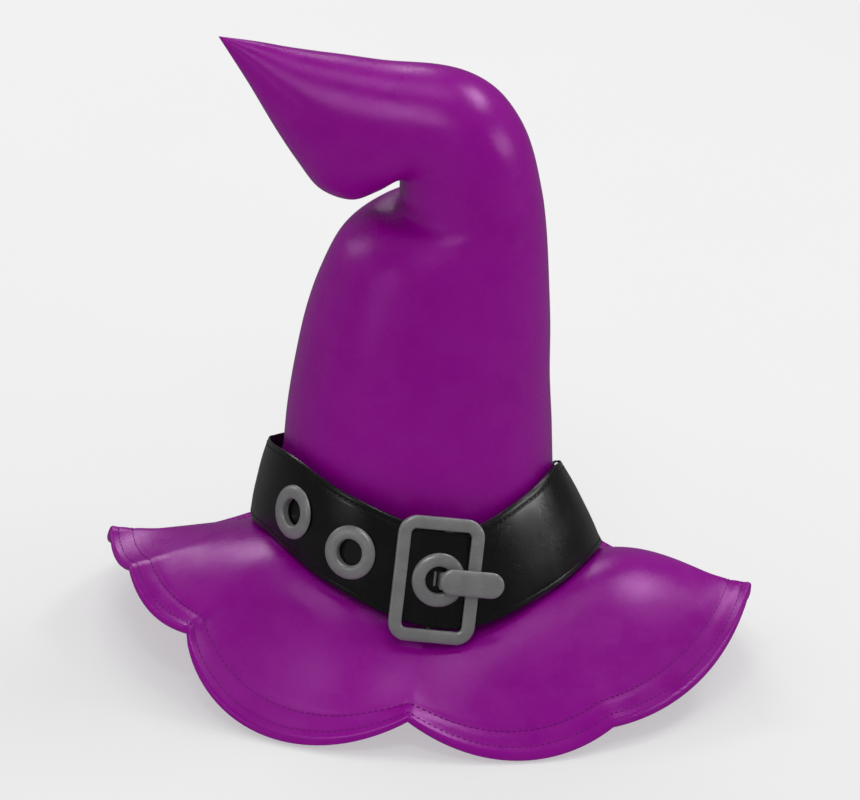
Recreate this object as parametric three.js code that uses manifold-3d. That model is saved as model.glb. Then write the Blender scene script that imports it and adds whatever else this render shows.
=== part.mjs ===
// Floppy witch hat: a sewn crown with a crooked tip, a scalloped drooping brim on a wire, and a
// leather belt with eyelets and a centre-bar buckle. Millimetres, +Z up, the buckle faces -Y and
// the tip points to -X. Angles run round the crown from the front (-Y) towards +X.
import * as THREE from 'three';
import { mergeVertices } from 'three/addons/utils/BufferGeometryUtils.js';
import Module from 'manifold-3d';

const wasm = await Module();
wasm.setup();

// Driving dimensions
const LEVEL = 65.5;              // height of the belt's lower edge at the two sides of the hat
const BASE_RADIUS = 98.6;        // outside of the crown at the brim seam
const CLOTH = 1.6;               // thickness of the crown cloth
const HEM_LIFT = 1;              // the crown's hem stands this far above the brim's inner edge
const SEAM_DROP = 2.5;           // the brim seam lies this far below the belt's lower edge
const GAP = 0.35;                // clearance between pieces that touch

const BRIM_CLOTH = 0.8;          // thickness of each brim cloth
const BRIM_THICKNESS = 4.6;      // whole brim, cloth to cloth
const BRIM_INNER = 96.9;         // radius of the brim's inner edge
const BRIM_ROWS = [0, 0.2, 0.4, 0.6, 0.78, 0.88, 1];   // parts of the brim's width
const STIFFENER_ROWS = BRIM_ROWS.slice(0, 5);          // the foam ends inside the wire
const WIRE_ROW = 0.88;
const PUFF = 6.75;               // makes the puff below the height of a lobe's bulge at its highest
const WIRE_RADIUS = 0.55;
const JOINER = { angle: 198.5, half: 2.8, cut: 0.3, outer: 1.15, bore: 0.95 };

const STRAP = 1.5;               // belt leather
const STRAP_LIFT = 1.4;          // inner face of the belt above the band surface
const LAP_LIFT = 3.3;            // inner face of the lapped outer layer
const CHAPE_LIFT = 2.5;          // inner face where the strap's end is held in the chape
const BUCKLE_LIFT = 8.2;         // inner face of the strap where it crosses the buckle bar
const BAND_RISE = 49.7;          // height of the belt at the sides
const BAND_EXTRA = 4.0;          // how much taller it is at the front and the back
const BAND_STAND = 1.6;          // how far the band stands out on the left
const BAND_TOP = { x: -11.2, rx: 82, ry: 82.6, turn: 8.9 };   // ellipse of the belt's upper edge

const BUCKLE_ANGLE = 3.6;
const BUCKLE_TILT = -1.2;
const BAR_LIFT = 3.6;
const BAR_RADIUS = 1.3;
const FRAME = { width: 50.6, height: 73, rim: 7.7, corner: 11, inner: 3, thick: 2.8, lift: 10.7 };
const LUG = { y: 31.3, thick: 2.6, width: 7 };
const EYELETS = [
  { angle: -51, across: 0.45 },
  { angle: -25.5, across: 0.44 },
  { angle: 4.5, across: 0.5 },
];
const EYELET = { hole: 7.8, barrel: 9, flange: 15.7, bevel: 0.4, washer: 12.4, strapHole: 9.6, thick: 1.1 };
const EYELET_DEPTH = 2.6;        // how deep the barrel goes
const EYELET_RISE = 0.65;        // its flange above the strap
const WASHER_THICK = 0.5;
const WASHER_SINK = 0.75;        // washer below the strap
const PRONG = { width: 15, start: 1.5, end: 39, thick: 2.8, lift: 14.2, stem: 4.2 };
const PRONG_COLLAR = { wall: 1.3, width: 9 };
const CHAPE = { leather: 0.9, reach: 22, width: 0.92, slot: 13, slotWidth: 11.5, slotBack: 4 };
const RIVET = { reach: 16, across: [0.2, 0.8], shank: 1.4, head: 3, foot: 2.6, footThick: 0.35, dome: 0.8 };
const DEGREES_PER_MM = 0.62;     // turn round the crown for each millimetre along the belt
const TONGUE = { turn: 16, narrowing: 0.44 };            // rounded free end of the strap
const KEEPER = { angle: 104, half: 4.4, leather: 1, low: -0.045, high: 1.045, wall: 0.02, under: 0.25 };
const KEEPER_GAP = 0.6;

const SWEATBAND = { inset: 2, leather: 1.2, drop: 4.5 };
const LINING = { inset: 5.2, cloth: 0.8, crest: 1.2, foot: 0.6, ribs: [0, 2, 4, 6, 7], top: 8 };
const SPINE = { inset: 4.2, radius: 1 };                 // wire up the back of the crown
const WADDING = { inset: 6, places: [14.9, 15.4, 16, 16.7] };
const WALL_ROWS = [0, 0.28, 0.56];                       // rows between the brim seam and the first rib
const TIP_HOLLOW = { x: 9, z: 5 };                       // how far the cloth is solid at the point

// Lift of the strap's inner face, by angle. The strap starts at the chape, goes right round the back
// and the left to the front, crosses the buckle and laps over itself to its free end.
const STRAP_START = 9;
const STRAP_END = 360 + 125;
const STRAP_LIFTS = [
  [STRAP_START, CHAPE_LIFT], [22, CHAPE_LIFT], [32, STRAP_LIFT], [298, STRAP_LIFT], [354, BUCKLE_LIFT],
  [375, BUCKLE_LIFT], [408, LAP_LIFT], [STRAP_END, LAP_LIFT],
];

// The brim's rim, notch to notch: angle, radius and height of each notch, then how far the lobe
// after it swells outwards and how far it droops; a lean under 1 moves its deepest place back
const LOBES = [
  { angle: -85.3, radius: 183, height: 57.5, swell: 1, droop: 5, steps: 2 },
  { angle: -71, radius: 178.5, height: 54, swell: 2, droop: 5.5, steps: 3 },
  { angle: -49.6, radius: 173, height: 43, swell: 12, droop: 40, steps: 7, lean: 0.85 },
  { angle: -0.3, radius: 160, height: 23, swell: 5, droop: 29, steps: 6 },
  { angle: 42, radius: 175, height: 16, swell: 1, droop: 10, steps: 6 },
  { angle: 85.5, radius: 191, height: 57.5, swell: 2, droop: 14, steps: 3 },
  { angle: 112, radius: 180, height: 22, swell: 3, droop: 14, steps: 3 },
  { angle: 146, radius: 163, height: 12, swell: 7, droop: 20, steps: 5 },
  { angle: 181, radius: 160, height: 18, swell: 7, droop: 20, steps: 5 },
  { angle: 216, radius: 161, height: 10, swell: 2, droop: 14, steps: 3 },
  { angle: 250, radius: 178, height: 20, swell: 3, droop: 8, steps: 3 },
];

// Ribs of the crown above the belt, in the XZ plane: the left end and the right end of each rib,
// heights above LEVEL, then half its depth. They fan round the notch and run out along the tip.
const RIBS = [
  { left: [-86.6, 47], right: [69.8, 47], depth: 79 },
  { left: [-86.2, 75], right: [66.8, 75], depth: 76 },
  { left: [-83.8, 105], right: [63.2, 105], depth: 72 },
  { left: [-80, 134], right: [61, 135], depth: 67 },
  { left: [-73.6, 160], right: [58.2, 161], depth: 61 },
  { left: [-64, 183.5], right: [55.3, 185], depth: 55 },
  { left: [-48.5, 198.5], right: [52.6, 203], depth: 48 },
  { left: [-32.5, 204], right: [49, 220], depth: 43 },
  { left: [-32.5, 214], right: [42, 244], depth: 41 },
  { left: [-33, 221], right: [33.5, 261.5], depth: 40 },
  { left: [-34.5, 224.5], right: [20.5, 277], depth: 39 },
  { left: [-39, 222], right: [4, 286.5], depth: 38 },
  { left: [-46.5, 214.5], right: [-16, 290.5], depth: 37.5 },
  { left: [-60, 207.5], right: [-46, 290.5], depth: 36.5 },
  { left: [-78, 212.5], right: [-70, 292], depth: 34 },
  { left: [-92, 228], right: [-87, 293], depth: 29 },
  { left: [-107, 248], right: [-103, 294.5], depth: 21.5 },
  { left: [-124, 273], right: [-121, 297], depth: 11.5 },
  { left: [-143, 299], right: [-143, 299], depth: 0 },
];
const FOLD_START = 13;           // rib where the crown ends and the fold of the tip begins
const FOLD_END = 14.5;           // rib where the stiff part of the tip begins

const rad = THREE.MathUtils.degToRad;
const lerp = THREE.MathUtils.lerp;

// ---------------------------------------------------------------- geometry helpers

// Smooth closed curve through [angle, value] pairs that cover one turn
function roundCurve(pairs) {
  const at = (i) => {
    const turn = Math.floor(i / pairs.length);
    const [angle, value] = pairs[i - turn * pairs.length];
    return [angle + 360 * turn, value];
  };
  const slope = (i) => (at(i + 1)[1] - at(i - 1)[1]) / (at(i + 1)[0] - at(i - 1)[0]);
  return (angle) => {
    const first = pairs[0][0];
    const turned = first + THREE.MathUtils.euclideanModulo(angle - first, 360);
    let i = 0;
    while (at(i + 1)[0] <= turned) i++;
    const [a0, v0] = at(i);
    const [a1, v1] = at(i + 1);
    const span = a1 - a0;
    const t = (turned - a0) / span;
    const bend = (t - 1) * (t - 1) * t * slope(i) * span + (t - 1) * t * t * slope(i + 1) * span;
    return v0 + (v1 - v0) * t * t * (3 - 2 * t) + bend;
  };
}

// Closed body skinned over a row of point rings; a ring of one point closes an end. The second half
// of the rings has its quads cut the other way, so that the two faces of a shell stay parallel.
function loft(rings, closed = false) {
  const starts = [];
  let total = 0;
  for (const ring of rings) {
    starts.push(total);
    total += ring.length;
  }
  const corner = (ring, i) => starts[ring] + (rings[ring].length === 1 ? 0 : i);
  const index = [];
  const spans = closed ? rings.length : rings.length - 1;
  for (let here = 0; here < spans; here++) {
    const next = (here + 1) % rings.length;
    const count = Math.max(rings[here].length, rings[next].length);
    const [solo, nextSolo] = [rings[here].length === 1, rings[next].length === 1];
    for (let i = 0; i < count; i++) {
      const j = (i + 1) % count;
      const [a, b, c, d] = [corner(here, i), corner(here, j), corner(next, j), corner(next, i)];
      if (solo) index.push(a, c, d);
      else if (nextSolo) index.push(a, b, c);
      else if (here < rings.length / 2) index.push(a, b, c, a, c, d);
      else index.push(a, b, d, b, c, d);
    }
  }
  const geometry = new THREE.BufferGeometry().setFromPoints(rings.flat());
  geometry.setIndex(volume(geometry.attributes.position, index) < 0 ? index.reverse() : index);
  return geometry;
}

function volume(position, index) {
  const [a, b, c] = [new THREE.Vector3(), new THREE.Vector3(), new THREE.Vector3()];
  let sum = 0;
  for (let i = 0; i < index.length; i += 3) {
    a.fromBufferAttribute(position, index[i]);
    b.fromBufferAttribute(position, index[i + 1]);
    c.fromBufferAttribute(position, index[i + 2]);
    sum += a.dot(b.cross(c)) / 6;
  }
  return sum;
}

// Open sweep of sections, closed with a flat cap at each end
function sweep(sections) {
  const total = (ring) => ring.reduce((sum, point) => sum.add(point), new THREE.Vector3());
  const middle = (ring) => [total(ring).divideScalar(ring.length)];
  return loft([middle(sections[0]), ...sections, middle(sections.at(-1))]);
}

function toSolid(geometry) {
  const plain = geometry.clone();
  plain.deleteAttribute('normal');
  plain.deleteAttribute('uv');
  const merged = mergeVertices(plain, 1e-4);
  const triVerts = new Uint32Array(merged.index.array);
  const vertProperties = new Float32Array(merged.attributes.position.array);
  return new wasm.Manifold(new wasm.Mesh({ numProp: 3, vertProperties, triVerts }));
}

function toGeometry(solid) {
  const mesh = solid.getMesh();
  const geometry = new THREE.BufferGeometry();
  geometry.setAttribute('position', new THREE.BufferAttribute(new Float32Array(mesh.vertProperties), 3));
  geometry.setIndex([...mesh.triVerts]);
  return geometry;
}

// Prism along Y with the given outline in X and Z, from y = -length / 2 to y = length / 2
function prismAlongY(shape, length) {
  const geometry = new THREE.ExtrudeGeometry(shape, { depth: length, bevelEnabled: false, curveSegments: 8 });
  return geometry.translate(0, 0, -length / 2).rotateX(Math.PI / 2);
}

// Turned piece from [radius, height] pairs, with its axis along Z
function turned(profile, segments) {
  const points = profile.map(([radius, height]) => new THREE.Vector2(radius, height));
  return new THREE.LatheGeometry(points, segments).rotateX(Math.PI / 2);
}

function roundedRectangle(width, height, radius) {
  const [x, y] = [width / 2, height / 2];
  const shape = new THREE.Shape();
  shape.absarc(x - radius, y - radius, radius, 0, Math.PI / 2);
  shape.absarc(-x + radius, y - radius, radius, Math.PI / 2, Math.PI);
  shape.absarc(-x + radius, -y + radius, radius, Math.PI, 1.5 * Math.PI);
  shape.absarc(x - radius, -y + radius, radius, 1.5 * Math.PI, 2 * Math.PI);
  return shape;
}

// ---------------------------------------------------------------- surfaces of the hat

// Height of the belt's lower edge above LEVEL, all the way round
const beltEdge = roundCurve([
  [-90, 0], [-60, 11], [-30, 2], [10, -15], [45, -1], [70, 6], [90, -1], [104, -12], [120, -18], [140, -21],
  [180, -23], [220, -21], [240, -17], [256, -9],
]);
const seamHeight = (angle) => LEVEL + beltEdge(angle) - SEAM_DROP;

// Angles of the sections round the hat: every lobe is cut into even steps, so notches stay sharp
const STATIONS = LOBES.flatMap((lobe, i) => {
  const end = i + 1 < LOBES.length ? LOBES[i + 1].angle : LOBES[0].angle + 360;
  return Array.from({ length: lobe.steps }, (_, step) => lerp(lobe.angle, end, step / lobe.steps));
});

// Rim of the brim at an angle
function rim(angle) {
  const turned = LOBES[0].angle + THREE.MathUtils.euclideanModulo(angle - LOBES[0].angle, 360);
  const i = LOBES.findLastIndex((lobe) => lobe.angle <= turned + 1e-9);
  const from = LOBES[i];
  const to = i + 1 < LOBES.length ? LOBES[i + 1] : { ...LOBES[0], angle: LOBES[0].angle + 360 };
  const t = (turned - from.angle) / (to.angle - from.angle);
  const along = Math.max(t, 0) ** (from.lean ?? 1);
  const arch = 4 * along * (1 - along);
  return {
    radius: lerp(from.radius, to.radius, t) + from.swell * arch,
    height: lerp(from.height, to.height, t) - from.droop * arch,
  };
}

// How far the brim stays level before it drops: most at the two sides
const brimHold = roundCurve([
  [-90, 1.1], [-45, 1.25], [0, 1], [50, 1.35], [82, 2.2], [92, 2], [106, 0.8], [135, 0.7], [180, 0.8],
  [225, 0.7], [255, 0.6],
]);

// How much each lobe puffs up between the seam and the rim
const brimPuff = roundCurve([
  [-90, 0], [-62, 3], [-25, 6], [0, 0], [22, 5], [42, 3], [65, 6], [86, 6], [104, 0], [180, 1], [240, 0],
]);

// Point of the brim: out runs from 0 at the seam to 1 at the rim, depth goes down through the layers
function brimPoint(angle, out, depth) {
  const edge = rim(angle);
  const radius = lerp(BRIM_INNER, edge.radius, out);
  const height = lerp(seamHeight(angle), edge.height, out ** brimHold(angle));
  const puff = PUFF * brimPuff(angle) * out * (1 - out) ** 2;
  const top = Math.max(height + puff, BRIM_THICKNESS);
  return new THREE.Vector3(radius * Math.sin(rad(angle)), -radius * Math.cos(rad(angle)), top - depth);
}

// Point of the crown at a place along the ribs, drawn in by inset; place -1 is the brim seam. The
// first rib still waves with the belt, the ones above it are flat.
function crownPoint(place, inset, angle) {
  const [side, front] = [Math.sin(rad(angle)), Math.cos(rad(angle))];
  if (place < 0) {
    const radius = BASE_RADIUS - inset;
    return new THREE.Vector3(radius * side, -radius * front, seamHeight(angle) + HEM_LIFT);
  }
  const i = Math.min(Math.floor(place), RIBS.length - 2);
  const t = place - i;
  const mix = (end) => new THREE.Vector2(...RIBS[i][end]).lerp(new THREE.Vector2(...RIBS[i + 1][end]), t);
  const [left, right] = [mix('left'), mix('right')];
  const centre = left.clone().add(right).divideScalar(2);
  const half = right.sub(left).divideScalar(2);
  half.setLength(Math.max(half.length() - inset, 0.01));
  const depth = lerp(RIBS[i].depth, RIBS[i + 1].depth, t) - inset;
  const wave = beltEdge(angle) * Math.max(1 - place, 0);
  return new THREE.Vector3(centre.x + half.x * side, -depth * front, LEVEL + centre.y + half.y * side + wave);
}

const crownRing = (place, inset) => STATIONS.map((angle) => crownPoint(place, inset, angle));

// Ring part of the way up from the brim seam to the first rib
function baseRing(up, inset) {
  const low = crownRing(-1, inset);
  const high = crownRing(0, inset);
  return low.map((point, i) => point.lerp(high[i], up));
}

// Point of the belt: across runs from 0 at its lower edge to 1 at its upper edge
function bandSurface(angle, across) {
  const [side, front] = [Math.sin(rad(angle)), Math.cos(rad(angle))];
  const radius = BASE_RADIUS + BAND_STAND * Math.max(-side, 0);
  const low = new THREE.Vector3(radius * side, -radius * front, LEVEL + beltEdge(angle));
  const rise = BAND_RISE + BAND_EXTRA * front * front;
  const turned = rad(angle + BAND_TOP.turn * front);
  const high = new THREE.Vector3(BAND_TOP.x + BAND_TOP.rx * Math.sin(turned), -BAND_TOP.ry * Math.cos(turned),
    low.z + rise);
  return low.lerp(high, across);
}

// Frame on the belt: y runs up across it, x along it to the right, z out of the hat
function bandFrame(angle, across) {
  const x = bandSurface(angle + 1, across).sub(bandSurface(angle - 1, across)).normalize();
  const y = bandSurface(angle, 1).sub(bandSurface(angle, 0)).normalize();
  const z = x.cross(y).normalize();
  return new THREE.Matrix4().makeBasis(y.clone().cross(z), y, z).setPosition(bandSurface(angle, across));
}

function bandPoint(angle, across, lift) {
  return new THREE.Vector3(0, 0, lift).applyMatrix4(bandFrame(angle, across));
}

// ---------------------------------------------------------------- sewn pieces

// Shell with both ends open: the rings of its outside, then those of its inside
function openShell(ringAt, places, outer, inner) {
  const outside = places.map((place) => ringAt(place, outer));
  const inside = places.map((place) => ringAt(place, inner)).reverse();
  return loft([...outside, ...inside], true);
}

// Shell closed at its last place
function closedShell(places, outer, inner, tip) {
  const outside = places.map((place) => crownRing(place, outer));
  const inside = places.map((place) => crownRing(place, inner));
  return loft([[tip.outer], ...outside.reverse(), ...inside, [tip.inner]]);
}

function brimLayer(top, bottom, rows) {
  const row = (out, depth) => STATIONS.map((angle) => brimPoint(angle, out, depth));
  return loft([...rows.map((out) => row(out, top)), ...rows.map((out) => row(out, bottom)).reverse()], true);
}

function wireSection(angle, radius, sides = 6) {
  const centre = brimPoint(angle, WIRE_ROW, BRIM_THICKNESS / 2);
  const out = new THREE.Vector3(Math.sin(rad(angle)), -Math.cos(rad(angle)), 0);
  const up = new THREE.Vector3(0, 0, 1);
  return Array.from({ length: sides }, (_, i) => {
    const turn = (2 * Math.PI * i) / sides;
    const spoke = out.clone().multiplyScalar(radius * Math.cos(turn));
    return spoke.addScaledVector(up, radius * Math.sin(turn)).add(centre);
  });
}

// Ring of wire whose two ends meet inside the joiner
function brimWire() {
  const { angle: start, cut } = JOINER;
  const turned = STATIONS.map((angle) => (angle > start ? angle : angle + 360)).sort((a, b) => a - b);
  return sweep([start + cut, ...turned, start + 360 - cut].map((angle) => wireSection(angle, WIRE_RADIUS)));
}

function wireJoiner() {
  const { angle, half, outer, bore } = JOINER;
  const angles = [angle - half, angle, angle + half];
  const rings = angles.map((at) => wireSection(at, outer, 8));
  const bores = angles.map((at) => wireSection(at, bore, 8)).reverse();
  return loft([...rings, ...bores], true);
}

function roundWire(points, radius) {
  const circle = new THREE.Shape().absarc(0, 0, radius, 0, 2 * Math.PI);
  const path = new THREE.CatmullRomCurve3(points);
  return new THREE.ExtrudeGeometry(circle, { extrudePath: path, steps: 14, curveSegments: 3 });
}

// ---------------------------------------------------------------- belt

function strapLift(angle) {
  const i = Math.max(STRAP_LIFTS.findIndex(([end]) => end >= angle), 1);
  const [[a0, l0], [a1, l1]] = [STRAP_LIFTS[i - 1], STRAP_LIFTS[i]];
  return lerp(l0, l1, THREE.MathUtils.smoothstep(angle, a0, a1));
}

function strapSection(angle, edge) {
  const lift = strapLift(angle);
  return [[edge, lift], [1 - edge, lift], [1 - edge, lift + STRAP], [edge, lift + STRAP]].map(
    ([across, height]) => bandPoint(angle, across, height));
}

function strap() {
  const step = 4.6;
  const angles = [];
  for (let angle = STRAP_START; angle < STRAP_END - TONGUE.turn; angle += step) angles.push(angle);
  const sections = angles.map((angle) => strapSection(angle, 0));
  for (const t of [0, 0.3, 0.55, 0.75, 0.9, 1]) {
    const edge = TONGUE.narrowing * (1 - Math.sqrt(1 - 0.96 * t * t));
    sections.push(strapSection(lerp(STRAP_END - TONGUE.turn, STRAP_END, t), edge));
  }
  let solid = toSolid(sweep(sections));
  for (const { angle, across } of EYELETS) {
    const punch = new THREE.CylinderGeometry(EYELET.strapHole, EYELET.strapHole, 2 * STRAP + 1, 20);
    punch.rotateX(Math.PI / 2).applyMatrix4(strapFrame(angle + 360, across));
    solid = solid.subtract(toSolid(punch));
  }
  return toGeometry(punchRivets(solid));
}

// Frame on the strap's own outer face, which leans where the strap climbs over the buckle
function strapFrame(angle, across) {
  const face = (at, over) => bandPoint(at, over, strapLift(at) + STRAP);
  const x = face(angle + 1, across).sub(face(angle - 1, across)).normalize();
  const z = x.clone().cross(face(angle, 1).sub(face(angle, 0))).normalize();
  const y = z.clone().cross(x);
  return new THREE.Matrix4().makeBasis(x, y, z).setPosition(face(angle, across));
}

function eyelet() {
  const { hole, barrel, flange, bevel, thick } = EYELET;
  return turned([[hole, -EYELET_DEPTH], [barrel, -EYELET_DEPTH], [barrel, 0], [flange, 0],
    [flange - bevel, thick], [hole, thick], [hole, -EYELET_DEPTH]], 20);
}

function eyeletWasher() {
  const [inner, outer] = [EYELET.barrel + GAP, EYELET.washer];
  const [low, high] = [-WASHER_THICK, 0];
  return turned([[inner, low], [outer, low], [outer, high], [inner, high], [inner, low]], 20);
}

// Loop of leather round the belt that holds its free end down
function keeper() {
  const { angle, half, leather: thick, low, high, wall, under } = KEEPER;
  const over = LAP_LIFT + STRAP + KEEPER_GAP;
  const floor = under + 0.6 * thick;
  const sections = [angle - half, angle, angle + half].map((at) => {
    const outer = [[low, under], [high, under], [high, over + thick], [low, over + thick]];
    const inner = [[low + wall, floor], [high - wall, floor], [high - wall, over], [low + wall, over]];
    return [outer, inner].map((ring) => ring.map(([across, lift]) => bandPoint(at, across, lift)));
  });
  const outside = sections.map(([outer]) => outer);
  const inside = sections.map(([, inner]) => inner).reverse();
  return loft([...outside, ...inside], true);
}

// ---------------------------------------------------------------- buckle, in its own frame

function buckleFrame() {
  const { width, height, rim: bar, corner, inner, thick, lift } = FRAME;
  const shape = roundedRectangle(width, height, corner);
  shape.holes.push(roundedRectangle(width - 2 * bar, height - 2 * bar, inner));
  const plate = new THREE.ExtrudeGeometry(shape, { depth: thick, bevelEnabled: false, curveSegments: 5 });
  let solid = toSolid(plate.translate(0, 0, lift));
  for (const end of [-1, 1]) {
    const foot = BAR_LIFT - 1.5;
    const lug = new THREE.BoxGeometry(LUG.width, LUG.thick, lift + 1 - foot);
    lug.translate(0, end * LUG.y, (lift + 1 + foot) / 2);
    solid = solid.add(toSolid(lug));
  }
  return toGeometry(solid);
}

function buckleBar() {
  const length = 2 * LUG.y - LUG.thick - 2 * GAP;
  return new THREE.CylinderGeometry(BAR_RADIUS, BAR_RADIUS, length, 12).translate(0, 0, BAR_LIFT);
}

function buckleProng() {
  const bore = BAR_RADIUS + GAP;
  const ring = new THREE.Shape().absarc(0, 0, bore + PRONG_COLLAR.wall, 0, 2 * Math.PI);
  ring.holes.push(new THREE.Path().absarc(0, 0, bore, 0, 2 * Math.PI));
  const collar = prismAlongY(ring, PRONG_COLLAR.width).translate(0, 0, BAR_LIFT);
  const rise = PRONG.lift + 1 - BAR_LIFT;
  const stem = new THREE.BoxGeometry(PRONG.stem, PRONG_COLLAR.width, rise);
  stem.translate(bore + 0.15 + PRONG.stem / 2, 0, BAR_LIFT + rise / 2);
  const round = PRONG.width / 2;
  const pad = new THREE.Shape();
  pad.absarc(PRONG.end - round, 0, round, -Math.PI / 2, Math.PI / 2);
  pad.absarc(PRONG.start + round, 0, round, Math.PI / 2, 1.5 * Math.PI);
  const plate = new THREE.ExtrudeGeometry(pad, { depth: PRONG.thick, bevelEnabled: false, curveSegments: 8 });
  plate.translate(0, 0, PRONG.lift);
  return toGeometry(toSolid(collar).add(toSolid(stem)).add(toSolid(plate)));
}

// Leather loop round the bar, slotted for the prong, with the strap's end between its two leaves
function buckleChape() {
  const inner = BAR_RADIUS + GAP;
  const leafSteps = [1, 0.8, 0.6, 0.4, 0.2].map((part) => part * CHAPE.reach);
  const route = leafSteps.map((along) => [along, -1]);
  for (let turn = -90; turn >= -270; turn -= 22.5) {
    route.push([inner * Math.cos(rad(turn)), Math.sin(rad(turn))]);
  }
  route.push(...leafSteps.reverse().map((along) => [along, 1]));
  const leaf = ([along, side], radius) => {
    const bend = Math.min(along, 0) * (radius / inner);
    const place = BUCKLE_ANGLE + DEGREES_PER_MM * (along < 0 ? bend : along);
    return [-CHAPE.width / 2, CHAPE.width / 2].map((half) => {
      const lean = DEGREES_PER_MM * half * (BAND_RISE + BAND_EXTRA) * Math.tan(rad(-BUCKLE_TILT));
      return bandPoint(place + lean, 0.5 + half, BAR_LIFT + side * radius);
    });
  };
  const outer = inner + CHAPE.leather;
  const sections = route.map((step) => [...leaf(step, inner), ...leaf(step, outer).reverse()]);
  const slot = new THREE.BoxGeometry(CHAPE.slot, CHAPE.slotWidth, 12);
  slot.translate(CHAPE.slot / 2 - CHAPE.slotBack, 0, BAR_LIFT).applyMatrix4(bandFrame(BUCKLE_ANGLE, 0.5));
  return punchRivets(toSolid(sweep(sections)).subtract(toSolid(slot)));
}

function rivetFrame(across) {
  return bandFrame(BUCKLE_ANGLE + DEGREES_PER_MM * RIVET.reach, across);
}

function punchRivets(solid) {
  for (const across of RIVET.across) {
    const radius = RIVET.shank + GAP;
    const punch = new THREE.CylinderGeometry(radius, radius, 7, 10).rotateX(Math.PI / 2);
    punch.translate(0, 0, BAR_LIFT).applyMatrix4(rivetFrame(across));
    solid = solid.subtract(toSolid(punch));
  }
  return solid;
}

function rivet() {
  const { shank, head, foot, footThick, dome } = RIVET;
  const [bottom, top] = [0.4, BAR_LIFT + BAR_RADIUS + GAP + CHAPE.leather + GAP];
  return turned([[0, bottom], [foot, bottom], [foot, bottom + footThick], [shank, bottom + footThick],
    [shank, top], [head, top], [head - dome, top + dome], [0, top + dome]], 12);
}

// ---------------------------------------------------------------- assembly

const cloth = { color: 0x7f007e, roughness: 0.55, metalness: 0 };
const lining = { color: 0x4a0a4a, roughness: 0.7, metalness: 0 };
const foam = { color: 0x3a3a3e, roughness: 0.95, metalness: 0 };
const leather = { color: 0x0b0b0b, roughness: 0.25, metalness: 0 };
const metal = { color: 0x6c6c6c, roughness: 0.4, metalness: 0.9 };
const steel = { color: 0x8a8d90, roughness: 0.45, metalness: 1 };

function piece(name, geometry, look) {
  const mesh = new THREE.Mesh(geometry, new THREE.MeshStandardMaterial(look));
  mesh.name = name;
  return mesh;
}

function place(mesh, matrix) {
  mesh.applyMatrix4(matrix);
  return mesh;
}

function crownPieces() {
  const range = (from, to) => Array.from({ length: Math.floor(to - from) + 1 }, (_, i) => from + i);
  const wall = (inset) => [...WALL_ROWS.map((up) => baseRing(up, inset)), ...range(0, FOLD_START).map(
    (at) => crownRing(at, inset))];
  const shell = loft([...wall(0), ...wall(CLOTH).reverse()], true);
  const foldPlaces = [FOLD_START + 0.02, FOLD_START + 0.75, FOLD_END - 0.02];
  const fold = openShell(crownRing, foldPlaces, 0, CLOTH);
  const last = RIBS.length - 1;
  const end = new THREE.Vector3(RIBS[last].left[0], 0, LEVEL + RIBS[last].left[1]);
  const tipPlaces = [FOLD_END, ...range(Math.ceil(FOLD_END), last - 1)];
  const hollowEnd = end.clone().add(new THREE.Vector3(TIP_HOLLOW.x, 0, -TIP_HOLLOW.z));
  const tip = closedShell(tipPlaces, 0, CLOTH, { outer: end, inner: hollowEnd });
  return [
    piece('crown_shell', shell, cloth),
    piece('crown_fold', fold, cloth),
    piece('crown_tip', tip, cloth),
  ];
}

// One wire up the back of the crown, in three stretches: the middle one bends with the fold
function wirePieces() {
  const stretch = (from, to) => {
    const steps = Math.max(Math.round(to - from), 2);
    const at = (i) => crownPoint(lerp(from, to, i / steps), SPINE.inset, 180);
    return Array.from({ length: steps + 1 }, (_, i) => at(i));
  };
  return [
    piece('crown_wire', roundWire(stretch(1, 12.7), SPINE.radius), steel),
    piece('fold_wire', roundWire(stretch(12.76, 14.7), SPINE.radius), steel),
    piece('tip_wire', roundWire(stretch(14.76, 16.8), SPINE.radius), steel),
  ];
}

function innerPieces() {
  const hem = (inset) => baseRing(0, inset).map((point) => point.setZ(point.z - SWEATBAND.drop));
  const sweatRows = (inset) => [hem(inset), ...WALL_ROWS.map((up) => baseRing(up, inset))];
  const sweatInside = SWEATBAND.inset + SWEATBAND.leather;
  const sweatband = loft([...sweatRows(SWEATBAND.inset), ...sweatRows(sweatInside).reverse()], true);
  const wall = (inset) => [baseRing(LINING.foot, inset), ...LINING.ribs.map((at) => crownRing(at, inset))];
  const top = crownPoint(LINING.top, 0, -90).add(crownPoint(LINING.top, 0, 90)).divideScalar(2);
  const under = top.clone().sub(new THREE.Vector3(0, 0, LINING.crest));
  const liner = loft([[top], ...wall(LINING.inset).reverse(), ...wall(LINING.inset + LINING.cloth), [under]]);
  const waddingRings = WADDING.places.map((at) => crownRing(at, WADDING.inset));
  return [
    piece('sweatband', sweatband, leather),
    piece('crown_lining', liner, lining),
    piece('tip_wadding', sweep(waddingRings), foam),
  ];
}

function brimPieces() {
  const inner = BRIM_CLOTH + GAP;
  return [
    piece('brim_top_cloth', brimLayer(0, BRIM_CLOTH, BRIM_ROWS), cloth),
    piece('brim_stiffener', brimLayer(inner, BRIM_THICKNESS - inner, STIFFENER_ROWS), foam),
    piece('brim_under_cloth', brimLayer(BRIM_THICKNESS - BRIM_CLOTH, BRIM_THICKNESS, BRIM_ROWS), cloth),
    piece('brim_wire', brimWire(), steel),
    piece('brim_wire_joiner', wireJoiner(), steel),
  ];
}

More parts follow.
